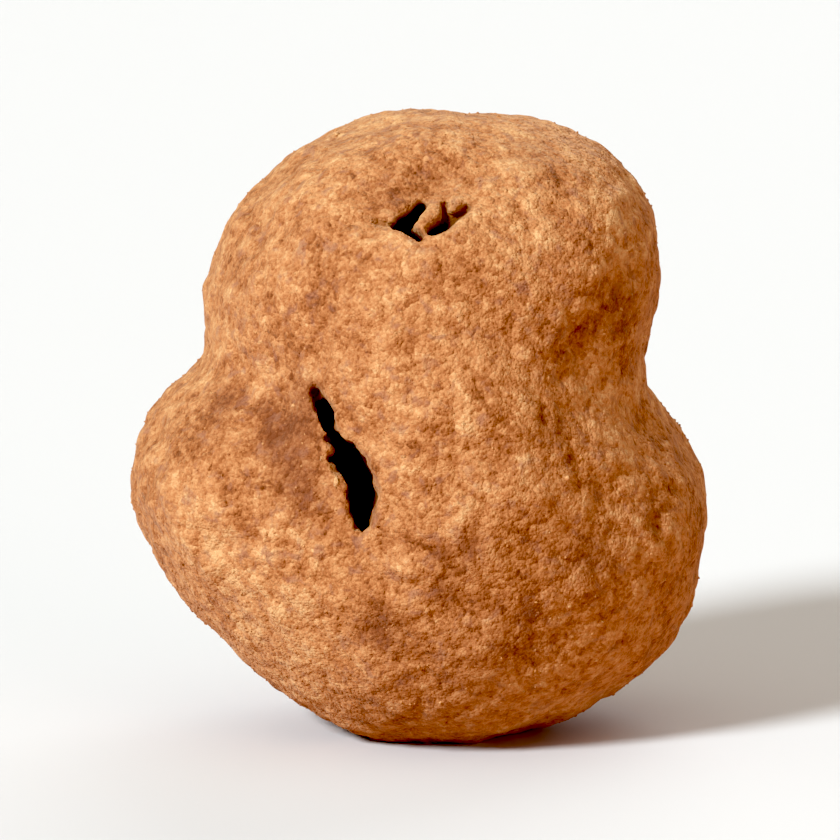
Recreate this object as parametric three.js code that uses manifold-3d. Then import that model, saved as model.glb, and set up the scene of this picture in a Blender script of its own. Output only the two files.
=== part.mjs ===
// A whole dried strawberry under a thick coat of chocolate, dusted with cocoa.
//
// Millimetres, +Z up. The piece stands on a small flat spot at Z = 0, and its front, which holds
// the slit, faces -Y. The origin is the middle of the bounding box's underside.
//
// The coat is one closed solid. Rounded lobes run into each other as they do on a tumbled coat,
// shallow dents and long ripples shape the skin, and two openings are cut into it.

import * as THREE from 'three';
import { mergeVertices } from 'three/addons/utils/BufferGeometryUtils.js';
import Module from 'manifold-3d';

// ---------------------------------------------------------------------------------------------
// Driving dimensions
// ---------------------------------------------------------------------------------------------

const WIDTH = 21.0; // X, from cheek to cheek
const DEPTH = 17.6; // Y, from front to back
const HEIGHT = 22.6; // Z, from the flat spot to the crown
const FLAT_DEPTH = 0.5; // what the flat spot takes off the round base

const BLEND = 0.7; // how softly two lobes run together
const SKIN_DETAIL = 19; // subdivisions of the skin's icosahedron
const HALVINGS = 30; // steps in which a point of the skin is closed in on
const SLOPE_STEP = 0.2; // how far to either side of a point the skin's slope is measured
const FRONT = -1;
const BACK = 1;

// A point or a radius given as shares of the three driving dimensions.
const shares = (x, y, z) => new THREE.Vector3(x * WIDTH, y * DEPTH, z * HEIGHT);

// The middle of the piece, from which every part of the skin can be seen.
const MIDDLE = shares(0.01, 0, 0.48);

// ---------------------------------------------------------------------------------------------
// The form
// ---------------------------------------------------------------------------------------------

// Each lobe is an ellipsoid. Heights count from the round base, before the flat spot.
const LOBES = [
  { name: 'core', centre: shares(0.02, -0.005, 0.54), radii: shares(0.343, 0.466, 0.4) },
  { name: 'crown', centre: shares(0.024, 0.023, 0.743), radii: shares(0.352, 0.415, 0.252) },
  { name: 'crown left', centre: shares(-0.152, 0.034, 0.687), radii: shares(0.21, 0.318, 0.183) },
  { name: 'crown right', centre: shares(0.2, -0.011, 0.76), radii: shares(0.205, 0.307, 0.21) },
  { name: 'belly', centre: shares(0.029, 0.006, 0.357), radii: shares(0.4, 0.489, 0.313) },
  { name: 'left cheek', centre: shares(-0.29, -0.04, 0.422), radii: shares(0.21, 0.33, 0.191) },
  { name: 'left flank', centre: shares(-0.181, -0.023, 0.33), radii: shares(0.238, 0.352, 0.191) },
  { name: 'right cheek', centre: shares(0.286, 0.017, 0.361), radii: shares(0.205, 0.341, 0.2) },
  { name: 'right flank', centre: shares(0.219, 0.011, 0.261), radii: shares(0.243, 0.341, 0.187) },
  { name: 'chin', centre: shares(0.033, -0.023, 0.217), radii: shares(0.338, 0.386, 0.213) },
];

// Each dent is a soft hollow along a short line on the skin, or a swell where its depth is less
// than 0. The line's two ends are shares of the width and height seen from the front or the back.
const DENTS = [
  { name: 'slit valley', side: FRONT, from: [-0.19, 0.6], to: [-0.1, 0.38], reach: 1.6, depth: 0.35 },
  { name: 'pit funnel', side: FRONT, from: [-0.05, 0.9], to: [0.06, 0.92], reach: 1.5, depth: 0.45 },
  { name: 'belly swell', side: FRONT, from: [0.15, 0.5], to: [0.19, 0.47], reach: 3.2, depth: -0.45 },
  { name: 'waist fold', side: FRONT, from: [0.28, 0.68], to: [0.21, 0.62], reach: 1.3, depth: 0.18 },
  { name: 'waist dimple', side: FRONT, from: [0.35, 0.77], to: [0.33, 0.75], reach: 1.2, depth: 0.18 },
  { name: 'cheek fold', side: FRONT, from: [-0.46, 0.52], to: [-0.455, 0.48], reach: 0.8, depth: 0.2 },
  { name: 'back dimple', side: BACK, from: [0.1, 0.7], to: [0.04, 0.64], reach: 1.8, depth: 0.5 },
  { name: 'back fold', side: BACK, from: [-0.3, 0.56], to: [-0.16, 0.52], reach: 1.5, depth: 0.4 },
];

// The openings: a lens-shaped mouth between two ends on the skin, bowed sideways, that narrows
// inwards. "fullest" is where along it the mouth is widest, from 0 at the first end to 1.
const OPENINGS = [
  {
    name: 'slit',
    side: FRONT,
    from: [-0.183, 0.609],
    to: [-0.096, 0.39],
    width: 1.3,
    fullest: 0.62,
    bow: 0.3,
    depth: 4.5,
  },
  {
    name: 'pit',
    side: FRONT,
    from: [-0.055, 0.888],
    to: [0.09, 0.89],
    width: 1.7,
    fullest: 0.45,
    bow: -0.8,
    depth: 2,
  },
];
const OPENING_STEPS = 14; // points along each edge of a mouth
const OPENING_RINGS = 4; // rings between a mouth and its floor
const OPENING_CLEARANCE = 1.5; // how far a cutter stands out of the skin
const FLOOR_WIDTH = 0.5; // an opening's floor, as a share of its mouth
const FLOOR_LENGTH = 0.7;

// Long low ripples, as crossing waves whose directions turn by the golden angle.
const RIPPLE_COUNT = 24;
const RIPPLE_SHORTEST = 2.6;
const RIPPLE_LONGEST = 4.6;
const RIPPLE_HEIGHT = 0.05;
const GOLDEN_SHARE = (Math.sqrt(5) - 1) / 2;

const RIPPLES = Array.from({ length: RIPPLE_COUNT }, (_, i) => {
  const height = 1 - (2 * i + 1) / RIPPLE_COUNT;
  const turn = 2 * Math.PI * GOLDEN_SHARE * i;
  const reach = Math.sqrt(1 - height * height);
  const length = THREE.MathUtils.lerp(RIPPLE_SHORTEST, RIPPLE_LONGEST, (i * Math.SQRT2) % 1);
  const direction = new THREE.Vector3(reach * Math.cos(turn), reach * Math.sin(turn), height);
  return { wave: direction.multiplyScalar((2 * Math.PI) / length), phase: i * i };
});

function ripple(point) {
  const sum = RIPPLES.reduce((total, { wave, phase }) => total + Math.cos(wave.dot(point) + phase), 0);
  return (RIPPLE_HEIGHT * sum) / Math.sqrt(RIPPLE_COUNT / 2);
}

// How deep a point lies below the skin of the blended lobes: each lobe measures its own depth, and
// the largest wins softly.
function lobeDepth(point) {
  const sum = LOBES.reduce((total, { centre, radii }) => {
    const reach = point.clone().sub(centre).divide(radii).length();
    const depth = ((1 - reach) * (radii.x + radii.y + radii.z)) / 3;
    return total + Math.exp(depth / BLEND);
  }, 0);
  return BLEND * Math.log(sum);
}

// The point of a line at which a depth changes from inside to outside, found by halving.
function crossing(depthAt, inside, outside) {
  const point = new THREE.Vector3();
  let near = 0;
  let far = 1;
  for (let step = 0; step < HALVINGS; step += 1) {
    const half = (near + far) / 2;
    if (depthAt(point.lerpVectors(inside, outside, half)) > 0) near = half;
    else far = half;
  }
  return new THREE.Vector3().lerpVectors(inside, outside, near);
}

// The point of a skin that is seen from the front or the back at a share of the width and height.
function skinPoint(depthAt, side, [x, z]) {
  return crossing(depthAt, shares(x, 0, z), shares(x, side, z));
}

const DENT_LINES = DENTS.map(({ side, from, to, reach, depth }) => ({
  line: new THREE.Line3(skinPoint(lobeDepth, side, from), skinPoint(lobeDepth, side, to)),
  reach,
  depth,
}));

function dent(point) {
  const nearest = new THREE.Vector3();
  return DENT_LINES.reduce((total, { line, reach, depth }) => {
    const away = line.closestPointToPoint(point, true, nearest).distanceTo(point) / reach;
    return total + depth * Math.exp(-away * away);
  }, 0);
}

const coatDepth = (point) => lobeDepth(point) + ripple(point) - dent(point);

// A ball of triangles round the piece, with each corner brought in to the skin.
function skinGeometry() {
  const geometry = new THREE.IcosahedronGeometry(HEIGHT, SKIN_DETAIL);
  const position = geometry.attributes.position;
  const outside = new THREE.Vector3();
  for (let i = 0; i < position.count; i += 1) {
    outside.fromBufferAttribute(position, i).add(MIDDLE);
    const point = crossing(coatDepth, MIDDLE, outside);
    position.setXYZ(i, point.x, point.y, point.z);
  }
  return geometry;
}

// ---------------------------------------------------------------------------------------------
// The openings
// ---------------------------------------------------------------------------------------------

// The direction that faces straight out of the blended lobes at a point.
function outwardAt(point) {
  const slope = ['x', 'y', 'z'].map((axis) => {
    const ahead = point.clone();
    const behind = point.clone();
    ahead[axis] += SLOPE_STEP;
    behind[axis] -= SLOPE_STEP;
    return lobeDepth(behind) - lobeDepth(ahead);
  });
  return new THREE.Vector3(...slope).normalize();
}

// A mouth's width from one end to the other, as a share of its largest.
function fullness(share, fullest) {
  const rise = fullest / (1 - fullest);
  const curve = (s) => s ** rise * (1 - s);
  return curve(share) / curve(fullest);
}

// An opening's outline on the skin, its length along X.
function mouthShape({ width, fullest, bow }, length) {
  const edge = (side) =>
    Array.from({ length: OPENING_STEPS + 1 }, (_, i) => {
      const share = i / OPENING_STEPS;
      const middle = bow * Math.sin(Math.PI * share);
      const reach = (side * width * fullness(share, fullest)) / 2;
      return new THREE.Vector2((share - 0.5) * length, middle + reach);
    });
  const near = edge(-1);
  const far = edge(1).slice(1, -1).reverse();
  return new THREE.Shape([...near, ...far]);
}

// The cutter of an opening: its mouth drawn out of the piece, narrowed towards the floor inside.
function openingGeometry(opening) {
  const start = skinPoint(coatDepth, opening.side, opening.from);
  const end = skinPoint(coatDepth, opening.side, opening.to);
  const middle = start.clone().lerp(end, 0.5);
  const along = end.clone().sub(start).normalize();
  const across = outwardAt(middle).cross(along).normalize();
  const outward = along.clone().cross(across);

  const total = opening.depth + OPENING_CLEARANCE;
  const geometry = new THREE.ExtrudeGeometry(mouthShape(opening, start.distanceTo(end)), {
    depth: total,
    steps: OPENING_RINGS,
    bevelEnabled: false,
  });
  const position = geometry.attributes.position;
  for (let i = 0; i < position.count; i += 1) {
    const share = Math.min(1, position.getZ(i) / opening.depth);
    position.setX(i, position.getX(i) * THREE.MathUtils.lerp(FLOOR_LENGTH, 1, share));
    position.setY(i, position.getY(i) * THREE.MathUtils.lerp(FLOOR_WIDTH, 1, share));
  }
  const place = new THREE.Matrix4().makeBasis(along, across, outward);
  place.setPosition(middle.addScaledVector(outward, -opening.depth));
  return geometry.applyMatrix4(place);
}

// ---------------------------------------------------------------------------------------------
// The solid
// ---------------------------------------------------------------------------------------------

const wasm = await Module();
wasm.setup();

function toSolid(geometry) {
  const bare = geometry.clone();
  bare.deleteAttribute('normal');
  bare.deleteAttribute('uv');
  const merged = mergeVertices(bare);
  return new wasm.Manifold(
    new wasm.Mesh({
      numProp: 3,
      vertProperties: Float32Array.from(merged.attributes.position.array),
      triVerts: Uint32Array.from(merged.index.array),
    }),
  );
}

function toGeometry(solid) {
  const mesh = solid.getMesh();
  const geometry = new THREE.BufferGeometry();
  geometry.setAttribute('position', new THREE.BufferAttribute(mesh.vertProperties, 3));
  geometry.setIndex(new THREE.BufferAttribute(mesh.triVerts, 1));
  geometry.computeVertexNormals();
  return geometry;
}

// Brings the round form to the driving dimensions, with the flat spot's plane at Z = 0.
function fitToSize(box) {
  const size = box.getSize(new THREE.Vector3());
  const middle = box.getCenter(new THREE.Vector3());
  const scale = new THREE.Vector3(WIDTH, DEPTH, HEIGHT + FLAT_DEPTH).divide(size);
  const toOrigin = new THREE.Matrix4().makeTranslation(-middle.x, -middle.y, -box.min.z);
  const toScale = new THREE.Matrix4().makeScale(scale.x, scale.y, scale.z);
  const toFlat = new THREE.Matrix4().makeTranslation(0, 0, -FLAT_DEPTH);
  return toFlat.multiply(toScale).multiply(toOrigin);
}

function coatedStrawberryGeometry() {
  const skin = skinGeometry();
  const fit = fitToSize(new THREE.Box3().setFromBufferAttribute(skin.attributes.position));
  const openings = OPENINGS.map((opening) => openingGeometry(opening).applyMatrix4(fit));
  const ground = new THREE.BoxGeometry(2 * WIDTH, 2 * DEPTH, HEIGHT).translate(0, 0, -HEIGHT / 2);
  const cutters = [...openings, ground].map(toSolid);
  const coat = toSolid(skin.applyMatrix4(fit));
  return toGeometry(cutters.reduce((solid, cutter) => solid.subtract(cutter), coat));
}

// ---------------------------------------------------------------------------------------------
// The scene
// ---------------------------------------------------------------------------------------------

const cocoa = new THREE.MeshStandardMaterial({ color: 0xc17a46, roughness: 0.95, metalness: 0 });

const strawberry = new THREE.Mesh(coatedStrawberryGeometry(), cocoa);
strawberry.name = 'coated_strawberry';

const part = new THREE.Group();
part.add(strawberry);

export default part;
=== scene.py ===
"""Looks of the chocolate coated strawberry: a lumpy coat with a slit and a pit, matt with cocoa.

The form is worked out in millimetres as one depth field: how far a point lies below the coat's
skin. It is the field of the CAD solid, with the fine marks, the ragged openings and the pebbled
grain added. The skin is where the field is zero.
"""

import math
from itertools import combinations, pairwise

import bpy
import numpy as np
import openvdb
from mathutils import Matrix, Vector, noise


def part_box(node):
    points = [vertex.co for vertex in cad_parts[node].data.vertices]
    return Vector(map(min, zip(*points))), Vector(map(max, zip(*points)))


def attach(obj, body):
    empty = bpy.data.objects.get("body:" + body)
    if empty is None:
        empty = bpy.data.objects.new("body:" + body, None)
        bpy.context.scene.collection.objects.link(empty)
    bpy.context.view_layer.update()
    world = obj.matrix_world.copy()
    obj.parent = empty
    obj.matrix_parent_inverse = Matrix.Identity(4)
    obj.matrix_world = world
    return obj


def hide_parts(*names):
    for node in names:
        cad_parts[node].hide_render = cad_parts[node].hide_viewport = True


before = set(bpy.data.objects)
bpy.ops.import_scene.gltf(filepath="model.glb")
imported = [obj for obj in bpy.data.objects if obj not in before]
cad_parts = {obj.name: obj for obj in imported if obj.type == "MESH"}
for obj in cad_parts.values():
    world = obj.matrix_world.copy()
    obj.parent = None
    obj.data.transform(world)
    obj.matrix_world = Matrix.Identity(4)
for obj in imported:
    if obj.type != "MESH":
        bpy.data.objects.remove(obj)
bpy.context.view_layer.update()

# ------------------------------------------------------------------------------------------------
# Sizes, in millimetres
# ------------------------------------------------------------------------------------------------

MM = 0.001  # metres
NODE = "coated_strawberry"
cad_low, cad_high = (np.array(corner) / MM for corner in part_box(NODE))
DRIVING = cad_high - cad_low  # width, depth and height
FLAT_DEPTH = 0.5  # what the flat spot takes off the round base
FRONT = -1
BACK = 1


def shares(x, y, z):
    """A point or a radius given as shares of the width, depth and height."""
    return np.array([x, y, z]) * DRIVING


# ------------------------------------------------------------------------------------------------
# The form: lobes, ripples and marks
# ------------------------------------------------------------------------------------------------

# Each lobe is an ellipsoid: centre and radii. Heights count from the round base.
LOBES = {
    "core": (shares(0.02, -0.005, 0.54), shares(0.343, 0.466, 0.4)),
    "crown": (shares(0.024, 0.023, 0.743), shares(0.352, 0.415, 0.252)),
    "crown left": (shares(-0.152, 0.034, 0.687), shares(0.21, 0.318, 0.183)),
    "crown right": (shares(0.2, -0.011, 0.76), shares(0.205, 0.307, 0.21)),
    "belly": (shares(0.029, 0.006, 0.357), shares(0.4, 0.489, 0.313)),
    "left cheek": (shares(-0.29, -0.04, 0.422), shares(0.21, 0.33, 0.191)),
    "left flank": (shares(-0.181, -0.023, 0.33), shares(0.238, 0.352, 0.191)),
    "right cheek": (shares(0.286, 0.017, 0.361), shares(0.205, 0.341, 0.2)),
    "right flank": (shares(0.219, 0.011, 0.261), shares(0.243, 0.341, 0.187)),
    "chin": (shares(0.033, -0.023, 0.217), shares(0.338, 0.386, 0.213)),
}
BLEND = 0.7  # how softly two lobes run together

RIPPLE_COUNT = 24
RIPPLE_SHORTEST = 2.6
RIPPLE_LONGEST = 4.6
RIPPLE_HEIGHT = 0.05
GOLDEN_SHARE = (math.sqrt(5) - 1) / 2

# Marks are soft hollows along a line on the skin, or bumps where the depth is negative. Each has
# its side, its two ends as shares of width and height, its reach and its depth.
MARKS = {
    "slit valley": (FRONT, (-0.19, 0.6), (-0.1, 0.38), 1.6, 0.35),
    "pit funnel": (FRONT, (-0.05, 0.9), (0.06, 0.92), 1.5, 0.45),
    "belly swell": (FRONT, (0.15, 0.5), (0.19, 0.47), 3.2, -0.45),
    "waist fold": (FRONT, (0.28, 0.68), (0.21, 0.62), 1.3, 0.18),
    "waist dimple": (FRONT, (0.35, 0.77), (0.33, 0.75), 1.2, 0.18),
    "cheek fold": (FRONT, (-0.46, 0.52), (-0.455, 0.48), 0.8, 0.2),
    "back dimple": (BACK, (0.1, 0.7), (0.04, 0.64), 1.8, 0.5),
    "back fold": (BACK, (-0.3, 0.56), (-0.16, 0.52), 1.5, 0.4),
    "slit crease": (FRONT, (-0.1, 0.388), (-0.127, 0.352), 0.25, 0.2),
    "slit ridge": (FRONT, (-0.08, 0.376), (-0.106, 0.342), 0.35, -0.12),
    "right lip": (FRONT, (-0.064, 0.476), (-0.074, 0.4), 0.35, -0.08),
    "pit bowl": (FRONT, (0.0, 0.925), (0.045, 0.93), 0.8, 0.32),
    "pit hook": (FRONT, (0.092, 0.908), (0.114, 0.939), 0.22, 0.2),
    "pit wrinkle": (FRONT, (-0.054, 0.918), (-0.02, 0.908), 0.3, 0.12),
    "cheek crease": (FRONT, (-0.462, 0.52), (-0.442, 0.491), 0.3, 0.15),
    "flank ridge": (FRONT, (-0.432, 0.426), (-0.361, 0.318), 0.5, -0.18),
    "flank dimple": (FRONT, (-0.35, 0.36), (-0.343, 0.362), 0.35, 0.14),
    "flank dimple 2": (FRONT, (-0.315, 0.368), (-0.308, 0.369), 0.3, 0.12),
    "flank dimple 3": (FRONT, (-0.282, 0.374), (-0.276, 0.376), 0.3, 0.12),
    "belly bump": (FRONT, (-0.03, 0.342), (-0.02, 0.338), 0.42, -0.15),
    "belly crease": (FRONT, (-0.056, 0.316), (0.005, 0.319), 0.25, 0.14),
    "belly pock": (FRONT, (-0.085, 0.248), (-0.05, 0.236), 0.4, 0.16),
    "cheek pock": (FRONT, (0.4, 0.389), (0.403, 0.386), 0.28, 0.32),
    "waist pock": (FRONT, (0.277, 0.671), (0.28, 0.667), 0.35, 0.16),
    "shoulder pock": (FRONT, (0.335, 0.745), (0.33, 0.715), 0.6, 0.24),
}

HALVINGS = 30  # steps in which a point of the skin is closed in on


def lobe_depth(points):
    """Depth below the blended lobes: each measures its own, and the largest wins softly."""
    total = 0
    for centre, radii in LOBES.values():
        reach = np.linalg.norm((points - centre) / radii, axis=-1)
        total = total + np.exp((1 - reach) * radii.mean() / BLEND)
    return BLEND * np.log(total)


def ripple(points):
    """Long low waves that cross, their directions turned by the golden angle."""
    total = 0
    for i in range(RIPPLE_COUNT):
        height = 1 - (2 * i + 1) / RIPPLE_COUNT
        turn = 2 * math.pi * GOLDEN_SHARE * i
        reach = math.sqrt(1 - height * height)
        direction = np.array([reach * math.cos(turn), reach * math.sin(turn), height])
        length = RIPPLE_SHORTEST + (RIPPLE_LONGEST - RIPPLE_SHORTEST) * (i * math.sqrt(2) % 1)
        total = total + np.cos(points @ (direction * 2 * math.pi / length) + i * i)
    return RIPPLE_HEIGHT * total / math.sqrt(RIPPLE_COUNT / 2)


def skin_point(side, place):
    """The point of the blended lobes seen from front or back at a share of width and height."""
    inside, outside = shares(place[0], 0, place[1]), shares(place[0], side, place[1])
    near, far = 0.0, 1.0
    for _ in range(HALVINGS):
        half = (near + far) / 2
        if lobe_depth(inside + (outside - inside) * half) > 0:
            near = half
        else:
            far = half
    return inside + (outside - inside) * near


def line_distance(points, start, end):
    """Distance to a straight line between two points, and the share along it of the nearest."""
    run = end - start
    share = np.clip((points - start) @ run / (run @ run), 0, 1)
    return np.linalg.norm(points - start - share[..., None] * run, axis=-1), share


mark_lines = [
    (skin_point(side, start), skin_point(side, end), reach, depth)
    for side, start, end, reach, depth in MARKS.values()
]


def coat_depth(points):
    """Depth below the skin of the whole coat, without its openings."""
    depth = lobe_depth(points) + ripple(points)
    for start, end, reach, hollow in mark_lines:
        away, _ = line_distance(points, start, end)
        depth = depth - hollow * np.exp(-((away / reach) ** 2))
    return depth


# ------------------------------------------------------------------------------------------------
# The openings
# ------------------------------------------------------------------------------------------------

# An opening is cut straight in along a line of stations. A station has its place, as shares of
# width and height seen from the front, and the opening's half width there. Faces is the azimuth
# and elevation that the opening faces. The depth counts from the lobes, so the marks take some of
# it. Rags is how far the left and right edges wander.
OPENINGS = {
    "slit": {
        "faces": (0, 10),
        "depth": 4.5,
        "rags": (0.24, 0.12),
        "stations": [
            (-0.164, 0.588, 0.31),
            (-0.16, 0.573, 0.37),
            (-0.151, 0.55, 0.17),
            (-0.139, 0.531, 0.34),
            (-0.129, 0.513, 0.57),
            (-0.112, 0.495, 0.59),
            (-0.1, 0.475, 0.5),
            (-0.097, 0.455, 0.57),
            (-0.099, 0.432, 0.46),
            (-0.095, 0.412, 0.28),
            (-0.098, 0.39, -0.05),
        ],
    },
    "slit tip": {
        "faces": (0, 10),
        "depth": 0.98,
        "rags": (0.04, 0.04),
        "stations": [(-0.178, 0.606, 0.28), (-0.168, 0.592, 0.34)],
    },
    "pit left": {
        "faces": (0, 25),
        "depth": 2.4,
        "rags": (0.05, 0.05),
        "stations": [
            (-0.042, 0.866, 0.22),
            (-0.028, 0.872, 0.4),
            (-0.014, 0.883, 0.34),
            (0.001, 0.897, 0.26),
        ],
    },
    "pit lobe": {
        "faces": (0, 25),
        "depth": 2.0,
        "rags": (0.04, 0.04),
        "stations": [(-0.026, 0.864, 0.27), (-0.002, 0.848, 0.2)],
    },
    "pit right": {
        "faces": (0, 25),
        "depth": 1.02,
        "rags": (0.05, 0.05),
        "stations": [
            (0.022, 0.859, 0.28),
            (0.038, 0.868, 0.38),
            (0.058, 0.881, 0.32),
            (0.079, 0.892, 0.26),
        ],
    },
    "pit top": {
        "faces": (0, 25),
        "depth": 1.0,
        "rags": (0.04, 0.04),
        "stations": [(0.043, 0.898, 0.24), (0.041, 0.872, 0.3)],
    },
    "pit tail": {
        "faces": (0, 25),
        "depth": 0.8,
        "rags": (0.02, 0.02),
        "stations": [(-0.074, 0.873, 0.14), (-0.047, 0.868, 0.17)],
    },
}
OPENING_ROOM = 1.5  # how far round its stations an opening may reach
FLOOR_SHARE = 0.5  # an opening's floor, as a share of its mouth
RAG_LENGTH = 0.36
RAG_REACH = 0.5  # only this near its edge does an opening wander
LIP_HEIGHT = 0.07  # how far the coat rises at an opening's edge
LIP_REACH = 0.3
EDGE_ROUND = 0.34  # how softly the skin turns into an opening


def towards(azimuth, elevation):
    """The direction in degrees from the piece to a viewer or lamp: azimuth 0 is the front."""
    a, e = math.radians(azimuth), math.radians(elevation)
    return np.array([math.sin(a) * math.cos(e), -math.cos(a) * math.cos(e), math.sin(e)])


def perlin(points, length, shift=0.0):
    """Smooth noise of about -1 to 1, with lumps of the given length."""
    places = (points / length + shift).reshape(-1, 3).tolist()
    return np.array([noise.noise(place) for place in places]).reshape(points.shape[:-1])


class Opening:
    """An opening's place on the skin, and the cut it makes."""

    def __init__(self, faces, depth, rags, stations):
        self.outward = towards(*faces)
        sideways = np.cross([0, 0, 1], self.outward)
        sideways /= np.linalg.norm(sideways)
        self.across = np.stack([sideways, np.cross(self.outward, sideways)], axis=1)
        self.depth = depth
        self.rags = rags
        spots = np.array([skin_point(FRONT, (x, z)) for x, z, _ in stations])
        self.level = spots.mean(axis=0) @ self.outward
        self.places = spots @ self.across
        self.halves = [half for _, _, half in stations]
        self.low = self.places.min(axis=0) - OPENING_ROOM
        self.high = self.places.max(axis=0) + OPENING_ROOM

    def within_walls(self, flat, taper):
        """How far places on the mouth's plane lie within walls that lean in by a taper."""
        within = np.full(len(flat), -np.inf)
        stretches = zip(pairwise(self.places), pairwise(self.halves))
        for (start, end), (start_half, end_half) in stretches:
            away, share = line_distance(flat, start, end)
            half = start_half + (end_half - start_half) * share
            within = np.maximum(within, half * taper - away)
        return within

    def inside(self, points):
        """How far points lie within the cut's walls and above its floor."""
        inside = np.full(len(points), -np.inf)
        flat = points @ self.across
        above = self.depth + points @ self.outward - self.level
        near = ((flat > self.low) & (flat < self.high)).all(axis=1) & (above > -OPENING_ROOM)
        if not near.any():
            return inside
        points, flat, above = points[near], flat[near], above[near]
        taper = FLOOR_SHARE + (1 - FLOOR_SHARE) * np.clip(above / self.depth, 0, 1)
        within = self.within_walls(flat, taper)
        edge = np.abs(within) < RAG_REACH
        run, reach = self.places[-1] - self.places[0], flat[edge] - self.places[0]
        at_left = run[0] * reach[:, 1] - run[1] * reach[:, 0] < 0
        within[edge] += np.where(at_left, *self.rags) * perlin(points[edge], RAG_LENGTH)
        inside[near] = np.minimum(within, above)
        return inside


openings = [Opening(**facts) for facts in OPENINGS.values()]


def soft_min(a, b, reach):
    """The smaller of two fields, rounded where they cross."""
    mix = np.clip(0.5 + 0.5 * (b - a) / reach, 0, 1)
    return b + (a - b) * mix - reach * mix * (1 - mix)


def openings_inside(points):
    """How far points lie inside an opening, and less than 0 outside them all."""
    inside = np.max([cut.inside(points) for cut in openings], axis=0)
    return np.maximum(inside, -OPENING_ROOM)


def lip_height(inside):
    """How high the coat rises round an opening's edge."""
    return LIP_HEIGHT * np.exp(-((np.minimum(inside, 0) / LIP_REACH) ** 2))


def body_depth(points):
    """Depth below the skin of the coat with its lips and openings."""
    inside = openings_inside(points)
    return soft_min(coat_depth(points) + lip_height(inside), -inside, EDGE_ROUND)


# ------------------------------------------------------------------------------------------------
# The skin
# ------------------------------------------------------------------------------------------------

VOXEL = 0.155  # the size of the skin's quads
MARGIN = 4 * VOXEL  # empty room round the form
OUTSIDE = 1.0  # the height above the skin beyond that room
SLOPE_STEP = 0.02  # how far to either side of a point a field's slope is measured
SETTLINGS = 2  # how often each point is moved onto the exact skin
LEAST_SLOPE = 0.3  # a squared slope: a flatter field doesn't move a point further

# The relief of the coat: the length and height of its lumps, pebbles and grain, and a shift that
# gives each its own noise.
LUMP = (2.3, 0.09, 0.0)
PEBBLE = (1.1, 0.09, 7.3)
GRAIN = (0.48, 0.04, 3.1)
RELIEF_HEIGHT = 0.1  # the relief attribute is 1 at this height

# Darker patches, or paler ones where the strength is less than 0: side, place, reach and strength.
# Some are the coat's own dustless, mauve patches; the others are painted shade and painted light,
# which darken or lighten spots by how the light falls on them.
DUST_AND_SHADING_PATCHES = [
    # Painted light: paler along the lit left and lower left edge.
    (FRONT, (-0.228, 0.235), 2.6, -0.5),
    (FRONT, (-0.4, 0.4), 1.4, -0.5),
    (FRONT, (-0.34, 0.3), 1.8, -0.4),
    # Painted shade: darker towards the bottom.
    (FRONT, (0.04, 0.13), 2.6, 0.3),
    # The coat's own dustless, mauve patches, left of the slit.
    (FRONT, (-0.215, 0.545), 0.9, 1.0),
    (FRONT, (-0.21, 0.48), 0.8, 1.0),
    (FRONT, (-0.195, 0.44), 0.7, 0.7),
    (FRONT, (-0.2, 0.6), 0.7, 0.9),
    (FRONT, (-0.25, 0.53), 0.8, 0.8),
    (FRONT, (-0.27, 0.575), 0.45, 1.0),
    (FRONT, (-0.335, 0.575), 0.7, 0.8),
    (FRONT, (-0.455, 0.545), 0.45, 0.8),
    # Painted shade: round and above the pit, and on the crown's lit right shoulder.
    (FRONT, (0.03, 0.93), 0.9, 0.4),
    (FRONT, (-0.05, 0.915), 0.7, 0.5),
    (FRONT, (0.2, 0.945), 1.0, 0.35),
    # The coat's own mauve patches on the belly.
    (FRONT, (-0.07, 0.243), 0.9, 1.0),
    (FRONT, (0.042, 0.308), 0.6, 0.9),
    (FRONT, (0.086, 0.375), 0.65, 0.9),
    (FRONT, (0.034, 0.366), 0.45, 0.8),
    # Painted light: paler spots on the right side and the belly.
    (FRONT, (0.33, 0.85), 1.6, -0.4),
    (FRONT, (0.29, 0.57), 2.2, -0.4),
    (FRONT, (0.17, 0.63), 1.4, -0.3),
    (FRONT, (-0.02, 0.36), 1.5, -0.3),
    # Painted shade: the dark waist on the right, and the lit lump at the lower right.
    (FRONT, (0.348, 0.718), 1.0, 0.8),
    (FRONT, (0.278, 0.669), 0.5, 0.6),
    (FRONT, (0.3, 0.36), 1.5, 0.3),
    (FRONT, (0.289, 0.343), 0.9, 0.6),
    # Painted shade on the crown's lit right shoulder.
    (FRONT, (0.19, 0.965), 0.7, 0.5),
    (FRONT, (0.219, 0.551), 0.8, 0.7),
    (FRONT, (-0.351, 0.538), 1.0, 0.25),
    (FRONT, (0.4, 0.388), 0.5, 0.6),
    (FRONT, (0.16, 0.24), 1.6, 0.3),
    (BACK, (0.08, 0.68), 1.5, 0.7),
    (BACK, (-0.2, 0.3), 1.7, 0.6),
    (BACK, (0.25, 0.42), 1.2, 0.6),
]

# The inner attribute grows from 0 to 1 down an opening's wall, between these two depths. The
# colour
# darkens with it: the dust gives way to dark bare chocolate, and the darkening to near black
# deeper in is painted shade.
INNER_START = 0.02
INNER_END = 1.1
BARE_FROM = 0.3  # from this much inner on, the wall is dustless chocolate

# Pale chips of coat on the slit's left lip: place on the front and half sizes.
CHIPS = [((-0.147, 0.472), (0.1, 0.12, 0.22)), ((-0.171, 0.506), (0.09, 0.12, 0.12))]


def slope_of(depth_at, points):
    """The direction in which a depth grows, as its slope along each axis."""
    sides = [depth_at(points + s) - depth_at(points - s) for s in SLOPE_STEP * np.eye(3)]
    return np.stack(sides, axis=-1) / (2 * SLOPE_STEP)


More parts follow.
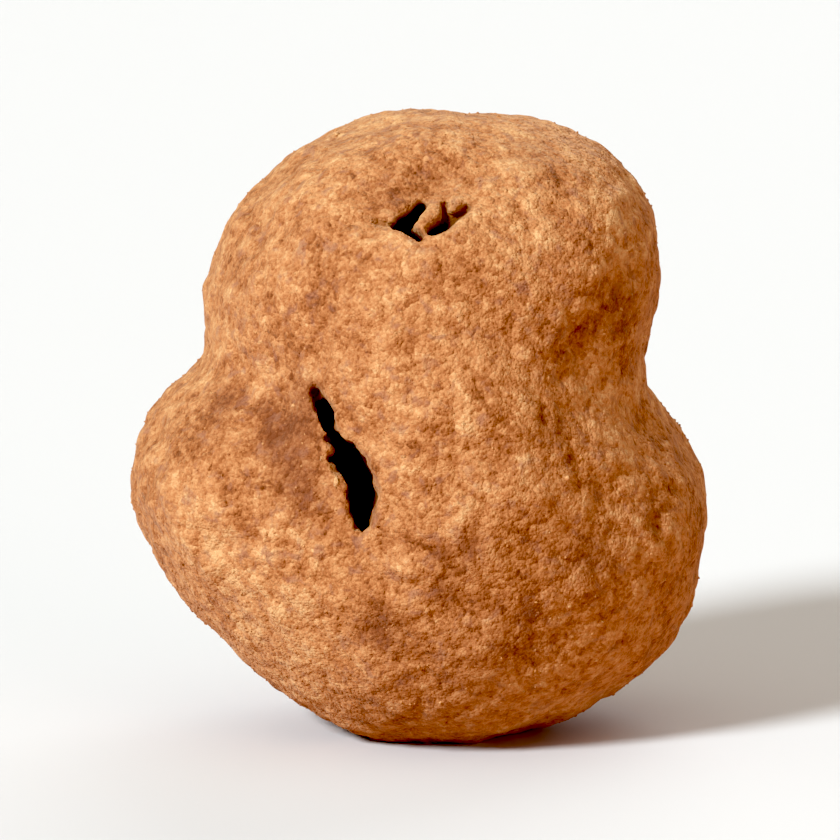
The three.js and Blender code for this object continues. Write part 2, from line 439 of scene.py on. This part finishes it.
def largest_part(points, quads):
    """The skin without its bubbles: the points and quads of its largest connected part."""
    part = np.arange(len(points))
    while True:
        joined = part.copy()
        np.minimum.at(joined, quads, part[quads].min(axis=1, keepdims=True))
        joined = joined[joined]
        if (joined == part).all():
            break
        part = joined
    kept = part == np.bincount(part).argmax()
    new_number = np.cumsum(kept) - 1
    return points[kept], new_number[quads[kept[quads[:, 0]]]]


def traced_skin():
    """Points and quads of the skin, where the body's depth is zero."""
    low = shares(-0.5, -0.5, 0) - MARGIN
    counts = np.ceil((DRIVING + [0, 0, FLAT_DEPTH] + 2 * MARGIN) / VOXEL).astype(int)
    x, y, z = (low[i] + VOXEL * np.arange(counts[i]) for i in range(3))
    slices = [np.stack(np.meshgrid([s], y, z, indexing="ij"), axis=-1).reshape(-1, 3) for s in x]
    depth = np.stack([body_depth(points) for points in slices]).reshape(counts)
    grid = openvdb.FloatGrid(background=OUTSIDE)
    grid.copyFromArray(-depth.astype(np.float32))  # a grid counts height above the skin
    points, quads = largest_part(*grid.convertToQuads(isovalue=0.0))
    points = points * VOXEL + low
    for _ in range(SETTLINGS):
        slope = slope_of(body_depth, points)
        shift = body_depth(points) / np.maximum((slope**2).sum(axis=-1), LEAST_SLOPE)
        points = points - np.clip(shift, -VOXEL, VOXEL)[:, None] * slope
    return points, quads


def to_frame(points, low, high):
    """Brings the round form to the CAD box, with the flat spot's plane at its underside."""
    scale = (DRIVING + [0, 0, FLAT_DEPTH]) / (high - low)
    return (points - low) * scale + cad_low - [0, 0, FLAT_DEPTH]


def relief(points):
    """Height of lumps, pebbles with creases between them, and grain."""
    length, height, shift = LUMP
    lumps = height * perlin(points, length, shift)
    length, height, shift = PEBBLE
    pebbles = height * (np.abs(perlin(points, length, shift)) * 2 - 0.5)
    length, height, shift = GRAIN
    return lumps + pebbles + height * perlin(points, length, shift)


def dust_and_shading_strength(points):
    """How much the patches darken the coat, from -1 at the palest to 1 at the darkest: its own
    dustless patches, and painted shade and painted light.
    """
    strength = np.zeros(len(points))
    for side, place, reach, most in DUST_AND_SHADING_PATCHES:
        away = np.linalg.norm(points - skin_point(side, place), axis=1)
        strength += most * np.exp(-((away / reach) ** 2))
    return np.clip(strength, -1, 1)


def new_object(name, data):
    """Puts a mesh, lamp or camera into the scene."""
    made = bpy.data.objects.new(name, data)
    bpy.context.collection.objects.link(made)
    return made


def mesh_object(name, points, faces, **attributes):
    """A smooth mesh in metres, with a number for each point under each attribute's name."""
    mesh = bpy.data.meshes.new(name)
    mesh.from_pydata(points * MM, [], faces.tolist())
    mesh.shade_smooth()
    for key, values in attributes.items():
        layer = mesh.attributes.new(key, "FLOAT", "POINT")
        layer.data.foreach_set("value", values.astype(np.float32))
    return new_object(name, mesh)


def make_coat():
    """The coat, and what the crumbs need to know of its points."""
    points, quads = traced_skin()
    low, high = points.min(axis=0), points.max(axis=0)
    outward = -slope_of(body_depth, points)
    outward /= np.linalg.norm(outward, axis=1)[:, None]
    inner = np.clip((coat_depth(points) - INNER_START) / (INNER_END - INNER_START), 0, 1)
    height = relief(points) * (1 - inner)
    patch = dust_and_shading_strength(points)
    chip_places = [skin_point(FRONT, place) for place, _ in CHIPS]
    chip_spots = [np.argmin(np.linalg.norm(points - place, axis=1)) for place in chip_places]
    points = to_frame(points + outward * height[:, None], low, high)
    points[:, 2] = np.maximum(points[:, 2], cad_low[2])
    facts = {"relief": height / RELIEF_HEIGHT, "inner": inner, "patch": patch}
    coat = mesh_object("chocolate_coat", points, quads, **facts)
    bare = (inner[quads] >= BARE_FROM).all(axis=1)  # these quads get the coat's second material
    coat.data.polygons.foreach_set("material_index", bare.astype(np.int32))
    return coat, (points, outward, inner, chip_spots)


# ------------------------------------------------------------------------------------------------
# Cocoa crumbs
# ------------------------------------------------------------------------------------------------

CRUMB_SEED = 5
CRUMB_COUNT = 4000
CRUMB_RADIUS = 0.035  # of a middling crumb
CRUMB_SPREAD = 0.4  # of the radii's logarithms
CRUMB_STRETCH = (0.7, 1.5)  # a crumb's half sizes, as shares of its radius
CRUMB_CORNERS = (0.6, 1.3)  # how far out its corners stand, as shares of its half sizes
CRUMB_SUNK = 0.3  # how deep a crumb's middle lies, as a share of its least half size
CRUMB_CLEARANCE = 0.3  # no crumb lies lower than this above the flat spot
CHIP_TONE = 3.0  # the relief attribute of the chips, where a crumb's is 0 to 1


def icosahedron():
    """Corners at a distance of 1 from the middle, and triangles that face outwards."""
    golden = (1 + math.sqrt(5)) / 2
    flat = [(0, a, b * golden) for a in (-1, 1) for b in (-1, 1)]
    corners = np.array([np.roll(corner, turn) for turn in range(3) for corner in flat])
    edge_length = 2
    gaps = np.linalg.norm(corners[:, None] - corners, axis=-1)
    joined = np.isclose(gaps, edge_length)
    faces = []
    for i, j, k in combinations(range(len(corners)), 3):
        if joined[i, j] and joined[j, k] and joined[i, k]:
            a, b, c = corners[i], corners[j], corners[k]
            outward = np.cross(b - a, c - a) @ a > 0
            faces.append((i, j, k) if outward else (i, k, j))
    return corners / np.linalg.norm(corners[0]), np.array(faces)


def make_crumbs(points, outward, inner, chip_spots):
    """Loose specks and clumps of cocoa that stand on the coat, and the chips on the slit's lip."""
    random = np.random.default_rng(CRUMB_SEED)
    clear = points[:, 2] > cad_low[2] + CRUMB_CLEARANCE
    open_skin = np.flatnonzero((inner <= 0) & clear)
    spots = np.append(random.choice(open_skin, CRUMB_COUNT, replace=False), chip_spots)
    radius = CRUMB_RADIUS * np.exp(CRUMB_SPREAD * random.standard_normal(CRUMB_COUNT))
    sizes = radius[:, None] * random.uniform(*CRUMB_STRETCH, (CRUMB_COUNT, 3))
    sizes = np.vstack([sizes, [size for _, size in CHIPS]])
    tone = np.append(random.uniform(0, 1, CRUMB_COUNT), np.full(len(CHIPS), CHIP_TONE))
    corners, faces = icosahedron()
    wobble = random.uniform(*CRUMB_CORNERS, (len(spots), len(corners), 1))
    centres = points[spots] - outward[spots] * CRUMB_SUNK * sizes.min(axis=1)[:, None]
    shapes = centres[:, None] + corners * wobble * sizes[:, None]
    first_corners = len(corners) * np.arange(len(spots))
    all_faces = (faces + first_corners[:, None, None]).reshape(-1, 3)
    tone = np.repeat(tone, len(corners))
    facts = {"relief": tone, "inner": 0 * tone, "patch": 0 * tone}
    return mesh_object("cocoa_crumbs", shapes.reshape(-1, 3), all_faces, **facts)


# ------------------------------------------------------------------------------------------------
# Nodes
# ------------------------------------------------------------------------------------------------

# A Mix node's sockets when it mixes colours.
MIX_SHARE, MIX_FIRST, MIX_SECOND = 0, 6, 7
MIX_RESULT = 2


def add(tree, kind, inputs=None, **settings):
    """Adds a node, sets its settings, and fills its inputs with values or links."""
    made = tree.nodes.new(kind)
    for name, value in settings.items():
        setattr(made, name, value)
    for name, value in (inputs or {}).items():
        if isinstance(value, bpy.types.NodeSocket):
            tree.links.new(value, made.inputs[name])
        else:
            made.inputs[name].default_value = value
    return made


def noise_of(tree, place, length, detail=2.0, rough=0.5, swirl=0.0):
    """Noise about 0.5 whose lumps have a length in millimetres."""
    inputs = {
        "Vector": place,
        "Scale": 1 / (length * MM),
        "Detail": detail,
        "Roughness": rough,
        "Distortion": swirl,
    }
    return add(tree, "ShaderNodeTexNoise", inputs).outputs["Fac"]


def grains_of(tree, place, length):
    """Grains as wide as a length in millimetres: a random tone for each, and how low it lies."""
    inputs = {"Vector": place, "Scale": 1 / (length * MM)}
    cells = add(tree, "ShaderNodeTexVoronoi", inputs)
    tone = add(tree, "ShaderNodeSeparateColor", {"Color": cells.outputs["Color"]})
    return tone.outputs["Red"], cells.outputs["Distance"]


def weighted(tree, start, terms):
    """A number plus each term's socket times its weight."""
    total = start
    for socket, weight in terms:
        inputs = {0: socket, 1: weight, 2: total}
        total = add(tree, "ShaderNodeMath", inputs, operation="MULTIPLY_ADD").outputs[0]
    return total


def blended(tree, share, first, second):
    """A mix of two colours by a share."""
    mix = add(tree, "ShaderNodeMix", data_type="RGBA")
    for index, value in ((MIX_SHARE, share), (MIX_FIRST, first), (MIX_SECOND, second)):
        if isinstance(value, bpy.types.NodeSocket):
            tree.links.new(value, mix.inputs[index])
        else:
            mix.inputs[index].default_value = (*value, 1)
    return mix.outputs[MIX_RESULT]


def attribute_of(tree, name):
    """A number that the mesh holds for each of its points."""
    return add(tree, "ShaderNodeAttribute", attribute_name=name).outputs["Fac"]


def add_bump(tree, shader, strength, distance, height):
    """Roughens a shader by a height, over a distance in millimetres."""
    inputs = {"Strength": strength, "Distance": distance * MM, "Height": height}
    bump = add(tree, "ShaderNodeBump", inputs)
    tree.links.new(bump.outputs["Normal"], shader.inputs["Normal"])


def new_material(name, finish):
    """A material whose shader has the finish's values, with its node tree and its shader."""
    material = bpy.data.materials.new(name)
    material.use_nodes = True
    shader = material.node_tree.nodes["Principled BSDF"]
    for key, value in finish.items():
        shader.inputs[key].default_value = value
    return material, material.node_tree, shader


# ------------------------------------------------------------------------------------------------
# Cocoa dust
# ------------------------------------------------------------------------------------------------

SLOT = "cocoa_chocolate"
COCOA_FINISH = {
    "Roughness": 0.95,
    "Specular IOR Level": 0.15,
    "Sheen Weight": 0.3,
    "Sheen Roughness": 0.5,
    "Sheen Tint": (1.0, 0.75, 0.5, 1),
}

# Tones and their linear colours, from the barest coat to the thickest dust.
COCOA_TONES = [
    (0.05, (0.175, 0.066, 0.032)),
    (0.3, (0.32, 0.134, 0.059)),
    (0.55, (0.45, 0.218, 0.1)),
    (0.8, (0.545, 0.306, 0.147)),
    (1.0, (0.625, 0.415, 0.214)),
]
MIDDLE_TONE = 0.55
RELIEF_TONE = 0.14  # what a relief of 1 adds to the tone
# What a patch of strength 1 adds to the tone: darker for dustless patches and painted shade, paler
# for painted light.
PATCH_TONE = -0.37

# The dust's noises: length, detail, roughness and swirl, and its weights in the tone and in the
# bumps.
DUST_NOISES = {
    "clouds": (3.8, 2, 0.5, 0.0, 0.5, 0.0),
    "mottle": (1.5, 2, 0.5, 0.4, 0.7, 0.0),
    "speckle": (0.6, 3, 0.6, 0.6, 1.0, 0.8),
    "powder": (0.13, 3, 0.7, 0.0, 0.7, 0.4),
}
# The dust's grains: width, and the weights in the tone and in the bumps.
DUST_GRAINS = {
    "clumps": (0.3, 0.3, -0.7),
    "grains": (0.11, 0.3, -0.35),
}
DUST_BUMP = (0.9, 0.13)  # strength and distance

# Small greyish spots, where their noise is high.
BLOOM_COLOUR = (0.3, 0.157, 0.108)
BLOOM_NOISE = (0.5, 2, 0.5, 0.5)  # length, detail, roughness and swirl
BLOOM_FROM = 0.56  # the noise at which a spot starts
BLOOM_FULL = 0.7
BLOOM_MOST = 0.6  # how much of the colour a full spot has

# The patches' colour, for the coat's own dustless patches and for painted shade alike.
PATCH_COLOUR = (0.21, 0.092, 0.056)
PATCH_SHARE = 0.45  # how much of the colour a patch of strength 1 has
BARE_CHOCOLATE = (0.04, 0.012, 0.005)


def tone_ramp(tree, tone):
    """The cocoa's colour at a tone."""
    ramp = add(tree, "ShaderNodeValToRGB", {"Fac": tone})
    stops = ramp.color_ramp.elements
    while len(stops) < len(COCOA_TONES):
        stops.new(0.5)
    for stop, (position, colour) in zip(stops, COCOA_TONES):
        stop.position = position
        stop.color = (*colour, 1)
    return ramp.outputs["Color"]


def bloom_share(tree, place):
    """How much of the bloom's colour shows."""
    spots = {
        "Value": noise_of(tree, place, *BLOOM_NOISE),
        "From Min": BLOOM_FROM,
        "From Max": BLOOM_FULL,
        "To Min": 0.0,
        "To Max": BLOOM_MOST,
    }
    return add(tree, "ShaderNodeMapRange", spots).outputs["Result"]


def dust_terms(tree, place):
    """The dust's noises and grains, each with its weight: those of the tone and of the bumps."""
    tones, bumps = [], []
    for length, detail, rough, swirl, tone_weight, bump_weight in DUST_NOISES.values():
        made = noise_of(tree, place, length, detail, rough, swirl)
        tones.append((made, tone_weight))
        if bump_weight:
            bumps.append((made, bump_weight))
    for width, tone_weight, bump_weight in DUST_GRAINS.values():
        tone, low = grains_of(tree, place, width)
        tones.append((tone, tone_weight))
        bumps.append((low, bump_weight))
    return tones, bumps


def cocoa_material():
    """Velvety cocoa dust, paler on the raised pebbles and darker in the low places between them.
    """
    material, tree, shader = new_material(SLOT, COCOA_FINISH)
    place = add(tree, "ShaderNodeTexCoord").outputs["Object"]
    height, inner, patch = (attribute_of(tree, name) for name in ("relief", "inner", "patch"))
    tones, bumps = dust_terms(tree, place)

    start = MIDDLE_TONE - sum(weight for _, weight in tones) / 2
    tone = weighted(tree, start, [*tones, (height, RELIEF_TONE), (patch, PATCH_TONE)])
    dusty = blended(tree, bloom_share(tree, place), tone_ramp(tree, tone), BLOOM_COLOUR)
    # The patches darken the coat: dustless patches, and painted shade and painted light.
    patch_share = weighted(tree, 0.0, [(patch, PATCH_SHARE)])
    coat = blended(tree, patch_share, dusty, PATCH_COLOUR)
    # Painted shade, partly: the colour darkens towards bare chocolate down an opening's wall.
    tree.links.new(blended(tree, inner, coat, BARE_CHOCOLATE), shader.inputs["Base Color"])
    add_bump(tree, shader, *DUST_BUMP, weighted(tree, 0.0, bumps))
    return material


# ------------------------------------------------------------------------------------------------
# Bare chocolate
# ------------------------------------------------------------------------------------------------

CHOCOLATE_FINISH = {"Roughness": 0.8, "Specular IOR Level": 0.1}
BROKEN_EDGE = (0.42, 0.19, 0.085)
DEEP_CHOCOLATE = (0.012, 0.004, 0.002)
CRUMBLE = (0.4, 4, 0.6)  # length, detail and roughness of its noise
CRUMBLE_BUMP = (0.8, 0.2)  # strength and distance


def chocolate_material():
    """The broken chocolate inside the openings: dark of its own, and darkened to near black with
    depth as painted shade.
    """
    material, tree, shader = new_material("bare_chocolate", CHOCOLATE_FINISH)
    place = add(tree, "ShaderNodeTexCoord").outputs["Object"]
    crumble = noise_of(tree, place, *CRUMBLE)
    inner = attribute_of(tree, "inner")
    dark = blended(tree, crumble, DEEP_CHOCOLATE, BARE_CHOCOLATE)
    # Painted shade: from the pale broken edge to near black with depth.
    tree.links.new(blended(tree, inner, BROKEN_EDGE, dark), shader.inputs["Base Color"])
    add_bump(tree, shader, *CRUMBLE_BUMP, crumble)
    return material


# ------------------------------------------------------------------------------------------------
# The studio
# ------------------------------------------------------------------------------------------------

AZIMUTH = 0.0
ELEVATION = 10.0
LENS = 300.0
FILL = 0.74  # the piece's share of the picture's height
NEAREST_SEEN = 0.01  # metres
FARTHEST_SEEN = 10.0
BLACK_LEVEL = 0.047  # light below this is shown as black

# Far lamps: azimuth, elevation and how wide each looks in degrees, strength and colour.
LAMPS = {
    "key": (-45, 32, 14, 4.25, (1.0, 1.0, 1.0)),
    "rim": (-100, 4, 40, 0.45, (1.0, 1.0, 0.9)),
    "overhead": (0, 85, 90, 1.12, (1.0, 0.85, 0.68)),
    "front fill": (40, 6, 40, 1.25, (1.0, 0.7, 0.61)),
    "side fill": (100, 15, 40, 0.12, (1.0, 0.5, 0.5)),
    "back fill": (160, 30, 50, 1.3, (1.0, 0.95, 0.9)),
}

# The floor and the air look white, and light the piece warmly, as its brown neighbours do.
FLOOR_RADIUS = 3.0  # metres
FLOOR_SIDES = 128
FLOOR_FINISH = {"Roughness": 0.9, "Specular IOR Level": 0.2}
FLOOR_WHITE = (0.685, 0.745, 0.785)
FLOOR_GLOW = (0.62, 0.4, 0.345)
WORLD_WHITE = (0.92, 0.915, 0.91)
WORLD_GLOW = (0.06, 0.04, 0.03)


def seen_or_glow(tree, glow, white):
    """White where the camera looks straight at a thing, and its glow where only light does."""
    seen = add(tree, "ShaderNodeLightPath").outputs["Is Camera Ray"]
    return blended(tree, seen, glow, white)


def facing_back(direction):
    """The turn that points a lamp or camera in a direction back at the piece."""
    return (-direction).to_track_quat("-Z", "Y").to_euler()


def make_floor():
    """A wide pale floor under the piece."""
    bpy.ops.mesh.primitive_circle_add(vertices=FLOOR_SIDES, radius=FLOOR_RADIUS, fill_type="NGON")
    floor = bpy.context.object
    floor.name = "floor"
    material, tree, shader = new_material("floor", FLOOR_FINISH)
    colour = seen_or_glow(tree, FLOOR_GLOW, FLOOR_WHITE)
    tree.links.new(colour, shader.inputs["Base Color"])
    floor.data.materials.append(material)


def make_lamp(name, azimuth, elevation, width, strength, colour):
    """A lamp so far off that its light comes evenly, from a direction in degrees."""
    lamp = bpy.data.lights.new(name, "SUN")
    lamp.energy = strength
    lamp.angle = math.radians(width)
    lamp.color = colour
    new_object(name, lamp).rotation_euler = facing_back(Vector(towards(azimuth, elevation)))


def make_world():
    """A faint even light from all round, which looks white to the camera."""
    world = bpy.data.worlds.new("studio")
    world.use_nodes = True
    tree = world.node_tree
    colour = seen_or_glow(tree, WORLD_GLOW, WORLD_WHITE)
    tree.links.new(colour, tree.nodes["Background"].inputs["Color"])
    bpy.context.scene.world = world


def make_camera():
    """The camera, far off behind a long lens, with the piece in the middle of its picture."""
    camera = bpy.data.cameras.new("camera")
    camera.lens = LENS
    camera.clip_start = NEAREST_SEEN
    camera.clip_end = FARTHEST_SEEN
    holder = new_object("camera", camera)
    back = Vector(towards(AZIMUTH, ELEVATION))
    frame_height = DRIVING[2] * MM / FILL
    distance = frame_height * LENS / camera.sensor_width
    holder.location = Vector((0, 0, DRIVING[2] / 2 * MM)) + back * distance
    holder.rotation_euler = facing_back(back)
    bpy.context.scene.camera = holder


def set_film():
    """Plain colours, with the darkest tones cut to black."""
    view = bpy.context.scene.view_settings
    view.view_transform = "Standard"
    view.use_curve_mapping = True
    view.curve_mapping.black_level = (BLACK_LEVEL, BLACK_LEVEL, BLACK_LEVEL)
    view.curve_mapping.update()


def make_studio():
    """The floor, the lamps, the world, the camera and its film."""
    make_floor()
    for name, facts in LAMPS.items():
        make_lamp(name, *facts)
    make_world()
    make_camera()
    set_film()


# ------------------------------------------------------------------------------------------------
# The scene
# ------------------------------------------------------------------------------------------------

cocoa = cocoa_material()
coat, skin = make_coat()
crumbs = make_crumbs(*skin)
for piece in (coat, crumbs):
    piece.data.materials.append(cocoa)
    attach(piece, "root")
coat.data.materials.append(chocolate_material())
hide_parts(NODE)

make_studio()
